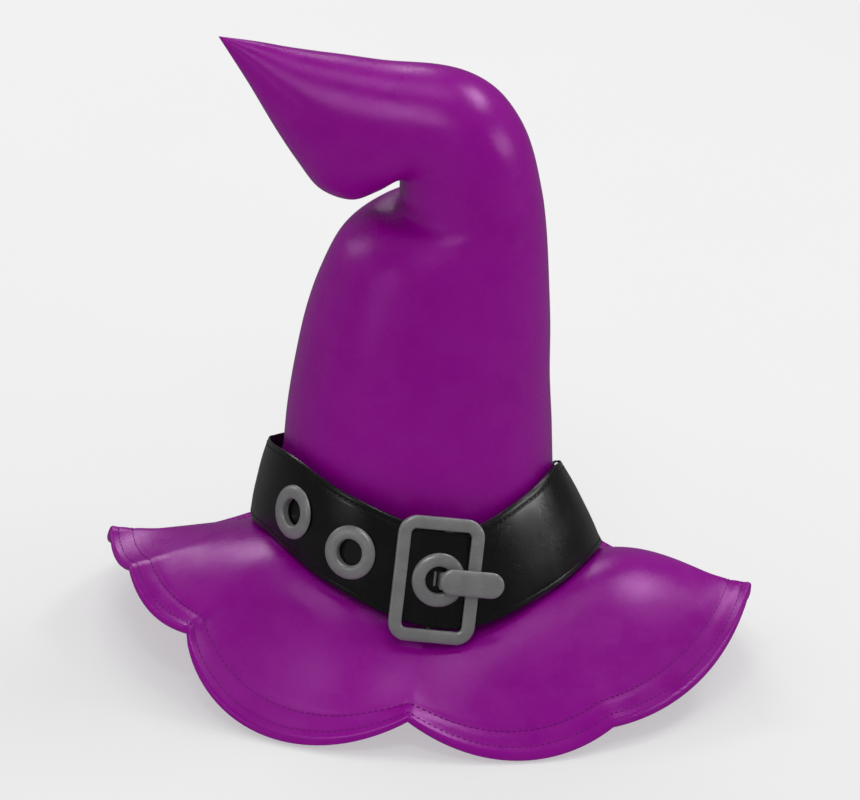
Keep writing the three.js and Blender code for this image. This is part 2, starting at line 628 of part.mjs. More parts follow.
function beltPieces() {
  const pieces = [piece('belt_strap', strap(), leather), piece('belt_keeper', keeper(), leather)];
  EYELETS.forEach(({ angle, across }, i) => {
    const onStrap = strapFrame(angle + 360, across);
    const over = new THREE.Matrix4().makeTranslation(0, 0, EYELET_RISE).premultiply(onStrap);
    const under = new THREE.Matrix4().makeTranslation(0, 0, -STRAP - GAP - WASHER_SINK).premultiply(onStrap);
    pieces.push(place(piece(`eyelet_${i + 1}`, eyelet(), metal), over));
    pieces.push(place(piece(`eyelet_washer_${i + 1}`, eyeletWasher(), metal), under));
  });
  return pieces;
}

function bucklePieces() {
  const buckle = new THREE.Group();
  const tilt = new THREE.Matrix4().makeRotationZ(rad(BUCKLE_TILT));
  buckle.applyMatrix4(bandFrame(BUCKLE_ANGLE, 0.5).multiply(tilt));
  const prong = piece('buckle_prong', buckleProng(), metal);
  buckle.add(piece('buckle_frame', buckleFrame(), metal), piece('buckle_bar', buckleBar(), metal), prong);
  const rivets = RIVET.across.map((across, i) => {
    return place(piece(`chape_rivet_${i + 1}`, rivet(), metal), rivetFrame(across));
  });
  return [buckle, piece('buckle_chape', toGeometry(buckleChape()), leather), ...rivets];
}

const hat = new THREE.Group();
hat.add(...crownPieces(), ...wirePieces(), ...innerPieces());
hat.add(...brimPieces(), ...beltPieces(), ...bucklePieces());

// The origin is the middle of the hat's own box, on the surface it stands on
hat.updateMatrixWorld(true);
const box = new THREE.Box3().setFromObject(hat, true);
hat.position.set(-(box.min.x + box.max.x) / 2, -(box.min.y + box.max.y) / 2, -box.min.z);
export default hat;
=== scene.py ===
"""Looks of the floppy witch hat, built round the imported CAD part.

Shapes are worked out in millimetres in the hat's own axes (Z through the middle of the head opening,
the buckle towards -Y) and become metres in the row frame in solid(). Angles are in degrees, round the
crown from the front towards +X.
"""
import math

import bmesh
import bpy
import numpy as np
from mathutils import Matrix, Vector


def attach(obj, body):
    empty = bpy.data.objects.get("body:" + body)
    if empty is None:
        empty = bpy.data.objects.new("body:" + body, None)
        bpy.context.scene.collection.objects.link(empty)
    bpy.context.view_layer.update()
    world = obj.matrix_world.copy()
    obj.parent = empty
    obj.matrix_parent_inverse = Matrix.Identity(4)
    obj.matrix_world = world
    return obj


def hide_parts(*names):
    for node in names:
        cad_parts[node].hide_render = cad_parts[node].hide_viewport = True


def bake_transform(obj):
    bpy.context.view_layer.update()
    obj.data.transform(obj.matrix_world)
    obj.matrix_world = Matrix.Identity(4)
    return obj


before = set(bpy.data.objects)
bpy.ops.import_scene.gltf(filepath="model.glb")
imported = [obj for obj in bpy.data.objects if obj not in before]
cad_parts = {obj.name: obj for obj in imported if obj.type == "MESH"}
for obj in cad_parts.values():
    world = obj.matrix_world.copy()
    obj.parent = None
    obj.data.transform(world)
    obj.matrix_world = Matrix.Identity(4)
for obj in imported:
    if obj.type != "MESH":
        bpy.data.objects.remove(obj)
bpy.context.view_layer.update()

# ------------------------------------------------------------------ driving numbers, in millimetres
AXIS = np.array([-3.380, 1.547, 0.0])    # the hat's axis in the row frame
LEVEL = 65.5
BASE_RADIUS = 98.6
CLOTH = 1.6
HEM_LIFT = 1.0
SEAM_DROP = 2.5
BRIM_INNER = 96.9
BRIM_THICKNESS = 4.6
PUFF = 6.75                 # makes the puff below the height of a lobe's bulge at its highest
RIM_SHARPENING = 2.2        # how late towards the rim its notches turn sharp
WIRE_ROW, WIRE_RADIUS = 0.88, 0.55
JOINER = {"angle": 198.5, "half": 2.8, "cut": 0.3, "outer": 1.15}
STRAP = 1.5
BAND_RISE, BAND_EXTRA, BAND_STAND = 49.7, 4.0, 1.6
BAND_TOP = {"x": -11.2, "rx": 82.0, "ry": 82.6, "turn": 8.9}
BUCKLE_ANGLE, BUCKLE_TILT = 3.6, -1.2
FRAME = {"width": 50.6, "height": 73.0, "rim": 7.7, "corner": 11.0, "inner": 3.0, "lift": 10.7}
LUG = {"y": 31.3, "thick": 2.6, "width": 7.0}
BAR_LIFT, BAR_RADIUS = 3.6, 1.3
PRONG = {"width": 15.0, "start": 1.5, "end": 39.0, "lift": 14.2, "stem": 4.2}
EYELETS = [(-51.0, 0.45), (-25.5, 0.44), (4.5, 0.5)]
KEEPER_ANGLE, KEEPER_HALF = 104.0, 4.4
TONGUE = 16.0
# The strap's inner face above the band: angle and lift
STRAP_LIFTS = [(9, 2.5), (22, 2.5), (32, 1.4), (298, 1.4), (354, 8.2), (375, 8.2), (408, 3.3), (485, 3.3)]

# Rim of the brim: angle, radius and height of each notch, then swell, droop and lean of the lobe after it
LOBES = np.array([
    (-85.3, 183, 57.5, 1, 5, 1), (-71, 178.5, 54, 2, 5.5, 1), (-49.6, 173, 43, 12, 28.5, 0.85),
    (-0.3, 160, 23, 5, 15, 1), (42, 175, 16, 1, 10, 1), (85.5, 191, 57.5, 2, 14, 1), (112, 180, 22, 3, 14, 1),
    (146, 163, 12, 7, 10.5, 1), (181, 160, 18, 7, 9.5, 1), (216, 161, 10, 2, 10.5, 1),
    (250, 178, 20, 3, 8, 1),
])
# Ribs of the crown above the belt: left end x, z and right end x, z above LEVEL, then half its depth
RIBS = np.array([
    (-86.6, 47, 69.8, 47, 79), (-86.2, 75, 66.8, 75, 76), (-83.8, 105, 63.2, 105, 72),
    (-80, 134, 61, 135, 67), (-73.6, 160, 58.2, 161, 61), (-64, 183.5, 55.3, 185, 55),
    (-48.5, 198.5, 52.6, 203, 48),
    (-32.5, 204, 49, 220, 43), (-32.5, 214, 42, 244, 41), (-33, 221, 33.5, 261.5, 40),
    (-34.5, 224.5, 20.5, 277, 39), (-39, 222, 4, 286.5, 38), (-46.5, 214.5, -16, 290.5, 37.5),
    (-60, 207.5, -46, 290.5, 36.5), (-78, 212.5, -70, 292, 34), (-92, 228, -87, 293, 29),
    (-107, 248, -103, 294.5, 21.5), (-124, 273, -121, 297, 11.5), (-143, 299, -143, 299, 0),
])


# ------------------------------------------------------------------ surfaces of the hat
def lerp(a, b, t):
    return a + (b - a) * t


def around(angle):
    """Sine and cosine of an angle in degrees."""
    turn = np.radians(angle)
    return np.sin(turn), np.cos(turn)


def round_curve(pairs):
    """Smooth closed curve through (angle, value) pairs that cover one turn."""
    a, v = np.array(pairs, float).T
    a = np.concatenate([a[-2:] - 360, a, a[:3] + 360])
    v = np.concatenate([v[-2:], v, v[:3]])
    slope = np.zeros(len(a))
    slope[1:-1] = (v[2:] - v[:-2]) / (a[2:] - a[:-2])

    def at(angle):
        turned = a[2] + (np.asarray(angle, float) - a[2]) % 360
        i = np.clip(np.searchsorted(a, turned, "right") - 1, 2, len(a) - 4)
        span = a[i + 1] - a[i]
        t = (turned - a[i]) / span
        bend = (t - 1) ** 2 * t * slope[i] * span + (t - 1) * t * t * slope[i + 1] * span
        return v[i] + (v[i + 1] - v[i]) * t * t * (3 - 2 * t) + bend

    return at


# Height of the belt's lower edge, how long the brim holds it on its way out, and the brim's puff
belt_edge = round_curve([(-90, 0), (-60, 11), (-30, 2), (10, -15), (45, -1), (70, 6), (90, -1), (104, -12),
                         (120, -18), (140, -21), (180, -23), (220, -21), (240, -17), (256, -9)])
brim_hold = round_curve([(-90, 1.1), (-45, 1.25), (0, 1), (50, 1.35), (82, 2.2), (92, 2), (106, 0.8),
                         (135, 0.7), (180, 0.8), (225, 0.7), (255, 0.6)])
brim_puff = round_curve([(-90, 0), (-62, 3), (-25, 6), (0, 0), (22, 5), (42, 3), (65, 6), (86, 6), (104, 0),
                         (180, 1), (240, 0)])


def seam_height(angle):
    return LEVEL + belt_edge(angle) - SEAM_DROP


def rim(angle):
    """Radius and height of the brim's rim."""
    starts = np.append(LOBES[:, 0], LOBES[0, 0] + 360)
    turned = starts[0] + (np.asarray(angle, float) - starts[0]) % 360
    i = np.clip(np.searchsorted(starts, turned + 1e-9, "right") - 1, 0, len(LOBES) - 1)
    j = (i + 1) % len(LOBES)
    t = np.clip((turned - starts[i]) / (starts[i + 1] - starts[i]), 0, 1)
    along = t ** LOBES[i, 5]
    arch = 4 * along * (1 - along)
    return (lerp(LOBES[i, 1], LOBES[j, 1], t) + LOBES[i, 3] * arch,
            lerp(LOBES[i, 2], LOBES[j, 2], t) - LOBES[i, 4] * arch)


def soft_rim(spread=7.0, reach=18.0, steps=25):
    """The rim with its notches smoothed out, which the cloth follows further in."""
    every = np.arange(0, 360, 1.0)
    offsets = np.linspace(-reach, reach, steps)
    weights = np.exp(-(offsets / spread) ** 2 / 2)
    weights /= weights.sum()
    radius, height = np.zeros(len(every)), np.zeros(len(every))
    for offset, weight in zip(offsets, weights):
        near = rim(every + offset)
        radius += weight * near[0]
        height += weight * near[1]

    def at(angle):
        turned = np.asarray(angle) % 360
        return [np.interp(turned, every, line, period=360) for line in (radius, height)]

    return at


smooth_rim = soft_rim()


def brim_point(angle, out, depth):
    """Point of the brim: out runs from 0 at the seam to 1 at the rim, depth goes down through the layers."""
    sharp = np.clip(out, 0, 1) ** RIM_SHARPENING
    rims = zip(smooth_rim(angle), rim(angle))
    edge_radius, edge_height = (lerp(soft, exact, sharp) for soft, exact in rims)
    radius = lerp(BRIM_INNER, edge_radius, out)
    height = lerp(seam_height(angle), edge_height, np.clip(out, 0, 1) ** brim_hold(angle))
    top = np.maximum(height + PUFF * brim_puff(angle) * out * (1 - out) ** 2, BRIM_THICKNESS)
    side, front = around(angle)
    return np.stack(np.broadcast_arrays(radius * side, -radius * front, top - depth), -1)


def rib(place):
    """The five numbers of the crown's ribs at a place between them, on a smooth curve."""
    i = np.clip(np.floor(place).astype(int), 0, len(RIBS) - 2)
    t = (place - i)[:, None]
    before, after = np.clip(i - 1, 0, None), np.clip(i + 2, None, len(RIBS) - 1)
    p0, p1, p2, p3 = RIBS[before], RIBS[i], RIBS[i + 1], RIBS[after]
    return 0.5 * (2 * p1 + (p2 - p0) * t + (2 * p0 - 5 * p1 + 4 * p2 - p3) * t ** 2
                  + (3 * p1 - p0 - 3 * p2 + p3) * t ** 3)


def crown_rings(places, inset, angles):
    """Rings of the crown at places along its ribs, drawn in by inset; place -1 is the brim seam."""
    places = np.asarray(places, float)
    side, front = around(angles)
    x0, z0, x1, z1, depth = rib(np.maximum(places, 0)).T
    half = np.stack([x1 - x0, z1 - z0], -1) / 2
    length = np.linalg.norm(half, axis=1)
    half *= (np.maximum(length - inset, 0.01) / np.maximum(length, 1e-6))[:, None]
    depth = np.maximum(depth - inset, 0.01)
    wave = belt_edge(angles)[None] * np.maximum(1 - np.maximum(places, 0), 0)[:, None]
    rings = np.stack([
        (x0 + x1)[:, None] / 2 + half[:, :1] * side,
        -depth[:, None] * front,
        LEVEL + (z0 + z1)[:, None] / 2 + half[:, 1:] * side + wave,
    ], -1)
    radius = BASE_RADIUS - inset
    foot = np.stack([radius * side, -radius * front, seam_height(angles) + HEM_LIFT], -1)
    return lerp(foot[None], rings, np.clip(places + 1, 0, 1)[:, None, None])


def band_surface(angle, across):
    """Point of the belt's band: across runs from 0 at its lower edge to 1 at its upper edge."""
    side, front = around(angle)
    radius = BASE_RADIUS + BAND_STAND * np.maximum(-side, 0)
    low = np.stack([radius * side, -radius * front, LEVEL + belt_edge(angle)], -1)
    top_side, top_front = around(angle + BAND_TOP["turn"] * front)
    high = np.stack([BAND_TOP["x"] + BAND_TOP["rx"] * top_side, -BAND_TOP["ry"] * top_front,
                     low[..., 2] + BAND_RISE + BAND_EXTRA * front * front], -1)
    return lerp(low, high, np.asarray(across)[..., None])


def unit(v):
    return v / np.linalg.norm(v, axis=-1, keepdims=True)


def band_point(angle, across, lift):
    """Point that stands off the band by lift."""
    angle, across, lift = np.broadcast_arrays(np.asarray(angle, float), across, lift)
    x = unit(band_surface(angle + 1, across) - band_surface(angle - 1, across))
    y = unit(band_surface(angle, np.ones_like(across)) - band_surface(angle, np.zeros_like(across)))
    return band_surface(angle, across) + unit(np.cross(x, y)) * lift[..., None]


def strap_lift(angle):
    ends, lifts = np.array(STRAP_LIFTS, float).T
    i = np.clip(np.searchsorted(ends, angle, "right") - 1, 0, len(ends) - 2)
    t = np.clip((angle - ends[i]) / (ends[i + 1] - ends[i]), 0, 1)
    return lerp(lifts[i], lifts[i + 1], t * t * (3 - 2 * t))


def basis(x, y, z, origin):
    return Matrix([[x[i], y[i], z[i], origin[i]] for i in range(3)] + [[0, 0, 0, 1]])


def buckle_matrix():
    """Frame of the buckle: y up across the belt, x along it to the right, z out of the hat."""
    at = lambda angle, across: band_surface(np.float64(angle), np.float64(across))
    x = unit(at(BUCKLE_ANGLE + 1, 0.5) - at(BUCKLE_ANGLE - 1, 0.5))
    y = unit(at(BUCKLE_ANGLE, 1) - at(BUCKLE_ANGLE, 0))
    z = unit(np.cross(x, y))
    tilt = Matrix.Rotation(math.radians(BUCKLE_TILT), 4, "Z")
    return basis(np.cross(y, z), y, z, at(BUCKLE_ANGLE, 0.5)) @ tilt


def strap_matrix(angle, across, sink=0.0):
    """Frame on the strap's outer face."""
    def face(a, c):
        return band_point(a, c, strap_lift(np.float64(a)) + STRAP)
    x = unit(face(angle + 1, across) - face(angle - 1, across))
    z = unit(np.cross(x, face(angle, 1) - face(angle, 0)))
    return basis(x, np.cross(z, x), z, face(angle, across) - z * sink)


# ------------------------------------------------------------------ mesh makers
def stations(step, lobed=True):
    """Angles round the hat; lobed ones keep every notch of the rim sharp."""
    if not lobed:
        return np.arange(0, 360, step)
    ends = np.append(LOBES[:, 0], LOBES[0, 0] + 360)
    runs = [np.linspace(a, b, max(round((b - a) / step), 4), endpoint=False) for a, b in zip(ends, ends[1:])]
    return np.concatenate(runs)


def solid(name, verts, faces, look, body, uv=None, flat_angle=40, matrix=None):
    """Mesh piece from points in millimetres; uv holds one pair per corner of the faces, in their order."""
    verts = np.asarray(verts, float)
    if matrix is not None:
        verts = verts @ np.array(matrix.to_3x3()).T + np.array(matrix.translation)
    mesh = bpy.data.meshes.new(name)
    mesh.from_pydata(((verts + AXIS) * 0.001).tolist(), [], faces)
    if uv is not None:
        layer = mesh.uv_layers.new(name="cloth")
        layer.data.foreach_set("uv", np.asarray(uv, np.float32).ravel())
    bm = bmesh.new()
    bm.from_mesh(mesh)
    bmesh.ops.recalc_face_normals(bm, faces=bm.faces)
    bm.to_mesh(mesh)
    bm.free()
    mesh.shade_smooth()
    mesh.set_sharp_from_angle(angle=math.radians(flat_angle))
    mesh.materials.append(look)
    obj = bpy.data.objects.new(name, mesh)
    bpy.context.scene.collection.objects.link(obj)
    if body:
        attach(obj, body)
    return obj


def skin(rows, cols, wrap_rows, wrap_cols):
    """Quads over a grid of points, as index arrays, with the grid cell of every corner."""
    i, j = np.meshgrid(np.arange(rows if wrap_rows else rows - 1), np.arange(cols if wrap_cols else cols - 1),
                       indexing="ij")
    corners = [(i, j), (i, j + 1), (i + 1, j + 1), (i + 1, j)]
    faces = np.stack([(a % rows) * cols + b % cols for a, b in corners], -1).reshape(-1, 4)
    cells = np.stack([np.stack([a, b], -1) for a, b in corners], -2).reshape(-1, 4, 2)
    return faces, cells


def lofted(name, grid, look, body, wrap_rows=False, wrap_cols=True, caps=False, uv=None, **more):
    """Piece skinned over rows of points. uv, if given, has one more row and column than the points."""
    rows, cols = grid.shape[:2]
    faces, cells = skin(rows, cols, wrap_rows, wrap_cols)
    corners = None if uv is None else uv[cells[..., 0], cells[..., 1]].reshape(-1, 2)
    polygons = faces.tolist()
    if caps:
        polygons += [list(range(cols)), list(range((rows - 1) * cols, rows * cols))]
        if corners is not None:
            corners = np.concatenate([corners, uv[0, :cols], uv[rows - 1, :cols]])
    return solid(name, grid.reshape(-1, 3), polygons, look, body, corners, **more)


def lathe(name, profile, look, body, matrix, segments=48):
    """Turned piece: profile is a closed loop of (radius, height) pairs round the matrix's Z."""
    side, front = around(np.arange(segments) * 360 / segments)
    grid = np.array([np.stack([r * side, -r * front, np.full(segments, z)], -1) for r, z in profile])
    return lofted(name, grid, look, body, wrap_rows=True, matrix=matrix)


def rounded(width, height, radius, steps=6):
    """Outline of a rounded rectangle, anticlockwise, with the same count of points whatever its size."""
    turns = np.radians(np.linspace(0, 90, steps + 1))
    corners = []
    for k, (sx, sy) in enumerate([(1, 1), (-1, 1), (-1, -1), (1, -1)]):
        centre = np.array([sx * (width / 2 - radius), sy * (height / 2 - radius)])
        turn = turns + k * math.pi / 2
        corners.append(centre + radius * np.stack([np.cos(turn), np.sin(turn)], -1))
    return np.concatenate(corners)


def path_frames(points, normals):
    tangent = unit(np.gradient(points, axis=0))
    side = unit(np.cross(tangent, normals))
    return tangent, side, np.cross(side, tangent)


# Each ring of a stitch: its place along the thread, its size, and its rise in radii of the thread
STITCH_RINGS = [(-1.0, 0.35, -0.6), (-0.72, 0.85, 0.25), (0.0, 1.0, 0.6), (0.72, 0.85, 0.25),
                (1.0, 0.35, -0.6)]


def stitches(name, points, normals, look, body, pitch=3.6, length=2.5, radius=0.32):
    """A row of sewn stitches along a path, each a short thread that dips into the cloth at its ends."""
    step = np.linalg.norm(np.diff(points, axis=0), axis=1)
    reach = np.concatenate([[0], np.cumsum(step)])
    count = int(reach[-1] / pitch)
    centres = (np.arange(count) + 0.5) * reach[-1] / count
    tangent, side, up = path_frames(points, normals)

    def at(values, s):
        return np.stack([np.interp(s, reach, values[:, k]) for k in range(3)], -1)
    rings = []
    turns = np.radians(np.arange(6) * 60)
    for along, size, rise in STITCH_RINGS:
        s = centres + along * length / 2
        middle = at(points, s) + unit(at(up, s)) * (rise * radius)
        spoke = (unit(at(side, s))[:, None] * np.cos(turns)[None, :, None]
                 + unit(at(up, s))[:, None] * np.sin(turns)[None, :, None])
        rings.append(middle[:, None] + spoke * (radius * size))
    grid = np.stack(rings, 1)
    faces, _ = skin(len(STITCH_RINGS), 6, False, True)
    size = len(STITCH_RINGS) * 6
    polygons = (faces[None] + size * np.arange(count)[:, None, None]).reshape(-1, 4).tolist()
    for k in range(count):
        polygons += [[k * size + i for i in range(6)], [k * size + size - 6 + i for i in range(6)]]
    return solid(name, grid.reshape(-1, 3), polygons, look, body, flat_angle=80)


# ------------------------------------------------------------------ materials
def linear(*rgb):
    """Linear colour of an sRGB one given from 0 to 255."""
    return tuple(((c / 255 + 0.055) / 1.055) ** 2.4 if c > 10 else c / 255 / 12.92 for c in rgb) + (1.0,)


class Look:
    """Material with helpers that add nodes and join them."""

    def __init__(self, name):
        self.material = bpy.data.materials.new(name)
        self.material.use_nodes = True
        self.tree = self.material.node_tree
        self.shader = self.tree.nodes["Principled BSDF"]

    def add(self, kind, inputs=None, **settings):
        node = self.tree.nodes.new("ShaderNode" + kind)
        for key, value in settings.items():
            setattr(node, key, value)
        for key, value in (inputs or {}).items():
            self.put(node.inputs[key], value)
        return node

    def put(self, socket, value):
        if isinstance(value, bpy.types.NodeSocket):
            self.tree.links.new(value, socket)
        else:
            socket.default_value = value

    def set(self, **values):
        for key, value in values.items():
            self.put(self.shader.inputs[key.replace("_", " ")], value)

    def math(self, operation, a, b=0.0):
        return self.add("Math", {0: a, 1: b}, operation=operation).outputs[0]

    def place(self):
        return self.add("TexCoord").outputs["Object"]

    def noise(self, scale, detail=3.0, roughness=0.55, vector=None):
        inputs = {"Scale": scale, "Detail": detail, "Roughness": roughness, "Vector": vector or self.place()}
        return self.add("TexNoise", inputs).outputs["Fac"]

    def ramp(self, value, low, high, to_low=0.0, to_high=1.0):
        inputs = {"Value": value, "From Min": low, "From Max": high, "To Min": to_low, "To Max": to_high}
        return self.add("MapRange", inputs).outputs["Result"]

    def mix(self, factor, a, b, blend="MIX"):
        node = self.add("Mix", {0: factor}, data_type="RGBA", blend_type=blend)
        self.put(node.inputs[6], a)
        self.put(node.inputs[7], b)
        return node.outputs[2]

    def bump(self, height, distance, strength=1.0, normal=None):
        inputs = {"Height": height, "Distance": distance, "Strength": strength}
        if normal is not None:
            inputs["Normal"] = normal
        return self.add("Bump", inputs).outputs["Normal"]


def weave(look, pitch):
    """Height of a plain weave over the piece's flat cloth pattern."""
    cloth = look.add("UVMap", uv_map="cloth").outputs["UV"]
    split = look.add("SeparateXYZ", {0: cloth}).outputs
    turns = 2 * math.pi / pitch
    u = look.math("SINE", look.math("MULTIPLY", split[0], turns))
    v = look.math("SINE", look.math("MULTIPLY", split[1], turns))
    return look.math("MULTIPLY", u, v)


def cloth_look(name, colour, shade, glow, rough=0.4, pitch=1.1, woven=True):
    look = Look(name)
    broad = look.noise(9.0, 2.0)
    mottle = look.noise(55.0, 4.0)
    fibre = look.noise(1400.0, 2.0, 0.7)
    tone = look.mix(look.ramp(broad, 0.35, 0.7), colour, shade)
    tone = look.mix(look.ramp(mottle, 0.35, 0.8, 0.0, 0.3), tone, glow)
    tone = look.mix(look.ramp(fibre, 0.3, 0.7, 0.0, 0.16), tone, shade)
    normal = look.bump(fibre, 0.00006, 0.3)
    if woven:
        thread = weave(look, pitch)
        tone = look.mix(look.ramp(thread, -1.0, 0.2, 0.22, 0.0), tone, shade)
        normal = look.bump(thread, 0.00005, 0.4, normal)
    normal = look.bump(look.noise(38.0, 2.0), 0.0009, 0.16, normal)
    look.set(Base_Color=tone, Normal=normal, Specular_Tint=linear(255, 180, 255), Specular_IOR_Level=0.5,
             Sheen_Weight=0.02, Sheen_Roughness=0.35, Sheen_Tint=linear(214, 120, 214),
             Roughness=look.ramp(mottle, 0.3, 0.7, rough - 0.05, rough + 0.06))
    return look.material


def leather_look(name, rough=0.27):
    look = Look(name)
    grain = look.add("TexVoronoi", {"Vector": look.place(), "Scale": 820.0}, feature="DISTANCE_TO_EDGE")
    pores = look.noise(2600.0, 2.0, 0.6)
    wear = look.noise(38.0, 5.0, 0.65)
    tone = look.mix(look.ramp(wear, 0.5, 0.75, 0.0, 0.6), linear(9, 9, 9), linear(26, 25, 25))
    tone = look.mix(look.ramp(grain.outputs["Distance"], 0.0, 0.12, 0.5, 0.0), tone, linear(3, 3, 3))
    normal = look.bump(look.ramp(grain.outputs["Distance"], 0.0, 0.25), 0.00009, 0.35)
    normal = look.bump(pores, 0.00005, 0.3, normal)
    normal = look.bump(look.noise(45.0, 2.0), 0.0008, 0.2, normal)
    look.set(Base_Color=tone, Normal=normal, Roughness=look.ramp(wear, 0.3, 0.75, rough - 0.05, rough + 0.12),
             Specular_IOR_Level=0.5, Coat_Weight=0.3, Coat_Roughness=0.16)
    return look.material


def metal_look(name, colour, worn, rough=0.42):
    look = Look(name)
    stretched = look.add("Mapping", {"Vector": look.place(), "Scale": (60.0, 1400.0, 1400.0)}).outputs[0]
    brushed = look.add("TexNoise", {"Vector": stretched, "Scale": 1.0, "Detail": 3.0}).outputs["Fac"]
    cloud = look.noise(120.0, 4.0, 0.6)
    scratch = look.add("TexVoronoi", {"Vector": look.place(), "Scale": 420.0}, feature="DISTANCE_TO_EDGE")
    tone = look.mix(look.ramp(cloud, 0.4, 0.75, 0.0, 0.55), colour, worn)
    tone = look.mix(look.ramp(brushed, 0.35, 0.65, 0.0, 0.3), tone, worn)
    normal = look.bump(brushed, 0.00004, 0.5)
    normal = look.bump(look.ramp(scratch.outputs["Distance"], 0.0, 0.03), 0.00002, 0.35, normal)
    look.set(Base_Color=tone, Normal=normal, Metallic=0.5,
             Roughness=look.ramp(cloud, 0.3, 0.7, rough - 0.07, rough + 0.08))
    return look.material


def thread_look(name, colour, shade):
    look = Look(name)
    twist = look.add("TexWave", {"Vector": look.place(), "Scale": 900.0, "Distortion": 1.0}).outputs["Fac"]
    look.set(Base_Color=look.mix(twist, colour, shade), Normal=look.bump(twist, 0.00006, 0.6),
             Roughness=look.ramp(twist, 0, 1, 0.55, 0.7), Specular_IOR_Level=0.2)
    return look.material


PURPLE, PLUM, ORCHID = linear(140, 0, 139), linear(128, 0, 127), linear(146, 2, 146)
cloth = cloth_look("purple_satin", PURPLE, PLUM, ORCHID, rough=0.27)
lining = cloth_look("plum_lining", linear(66, 12, 68), linear(44, 6, 48), linear(84, 24, 88), rough=0.45,
                    pitch=0.9)
leather = leather_look("black_leather")
matt_leather = leather_look("worn_leather", rough=0.42)
metal = metal_look("grey_metal", linear(140, 140, 141), linear(164, 164, 165), rough=0.36)
steel = metal_look("wire_steel", linear(150, 153, 156), linear(190, 192, 194), rough=0.35)
foam = cloth_look("grey_foam", linear(70, 70, 74), linear(44, 44, 48), linear(96, 96, 100), rough=0.9,
                  woven=False)
purple_thread = thread_look("purple_thread", linear(150, 30, 150), linear(92, 0, 92))
black_thread = thread_look("black_thread", linear(30, 30, 30), linear(6, 6, 6))


def finish_piece(obj, slot_name, *nodes):
    if nodes:
        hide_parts(*nodes)
    return obj


# ------------------------------------------------------------------ crown
def surface_normals(grid):
    """Outward-ish normals of an open grid of points."""
    return unit(np.cross(np.gradient(grid, axis=1), np.gradient(grid, axis=0)) + 1e-9)


CREASE = np.array([-34.0, LEVEL + 212.0])    # the notch that the crook folds round, in x and z
# Each crease: its heading from the notch in degrees, then depth, spread and reach
CREASES = [(-68, 1.0, 9, 46), (-34, 0.75, 8, 38), (4, 0.9, 10, 52), (38, 0.7, 9, 44), (72, 0.85, 10, 40),
           (110, 0.8, 9, 36)]


def creased(grid, strength=0.15):
    """Lets soft creases run out from the notch over both faces of the crook."""
    away = grid[..., [0, 2]] - CREASE
    far = np.linalg.norm(away, axis=-1)
    heading = np.degrees(np.arctan2(away[..., 1], away[..., 0]))
    lift = np.zeros(far.shape)
    for toward, height, spread, reach in CREASES:
        turn = (heading - toward + 180) % 360 - 180
        width = spread * (0.6 + 14 / (far + 10))
        lift -= height * np.exp(-(turn / width) ** 2) * np.exp(-((far - 6) / reach) ** 2) * np.tanh(far / 9)
    facing = np.abs(unit(surface_normals(grid))[..., 1:2])
    return grid + surface_normals(grid) * (lift * strength)[..., None] * facing


def arc_lengths(grid, front_index):
    """Flat cloth pattern: arc length round each ring from its front, and length up the front."""
    loop = np.concatenate([grid, grid[:, :1]], 1)
    round_length = np.concatenate([np.zeros((len(grid), 1)),
                                   np.cumsum(np.linalg.norm(np.diff(loop, axis=1), axis=2), 1)], 1)
    ridge = grid[:, front_index]
    up = np.concatenate([[0], np.cumsum(np.linalg.norm(np.diff(ridge, axis=0), axis=1))])
    u = round_length - round_length[:, -1:] / 2
    return np.stack([u, np.repeat(up[:, None], u.shape[1], 1)], -1)


def with_last_row(uv):
    return np.concatenate([uv, uv[:1]], 0)


SEAM_ROWS = slice(30, 175)      # the crown's rings that the back seam's stitches cross


def make_crown():
    angles = np.arange(180, 540, 2.5)          # starts at the back seam
    places = np.concatenate([np.linspace(-1, 0, 9)[:-1], np.linspace(0, 6, 43)[:-1],
                             np.linspace(6, 15, 91)[:-1], np.linspace(15, 17.9, 30), [17.97]])
    outer = creased(crown_rings(places, 0, angles))
    seam = np.exp(-((((angles - 180) + 180) % 360 - 180) / 2.4) ** 2)
    outer = outer - surface_normals(outer) * (0.7 * seam)[None, :, None]
    inner = creased(crown_rings(places, CLOTH, angles))
    hem = lerp(outer[:1], inner[:1], 0.5) - np.array([0, 0, 0.5])
    grid = np.concatenate([hem, outer, inner[::-1]])
    pattern = arc_lengths(grid, len(angles) // 2)
    crown = lofted("crown_cloth", grid, cloth, None, wrap_rows=True, uv=with_last_row(pattern), flat_angle=60)
    finish_piece(crown, "purple_cloth", "crown_shell", "crown_fold", "crown_tip")
    blend_tip(crown)
    normals = surface_normals(outer)[SEAM_ROWS]
    for k, column in enumerate([-2, 2]):
        path = outer[SEAM_ROWS, column] + normals[:, column] * 0.05
        seam_row = stitches(f"back_seam_stitches_{k + 1}", path, -normals[:, column],
                            purple_thread, None, pitch=4.2, length=2.9)
        finish_piece(seam_row, "purple_cloth")
        blend_tip(seam_row)


def blend_tip(obj):
    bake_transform(obj)


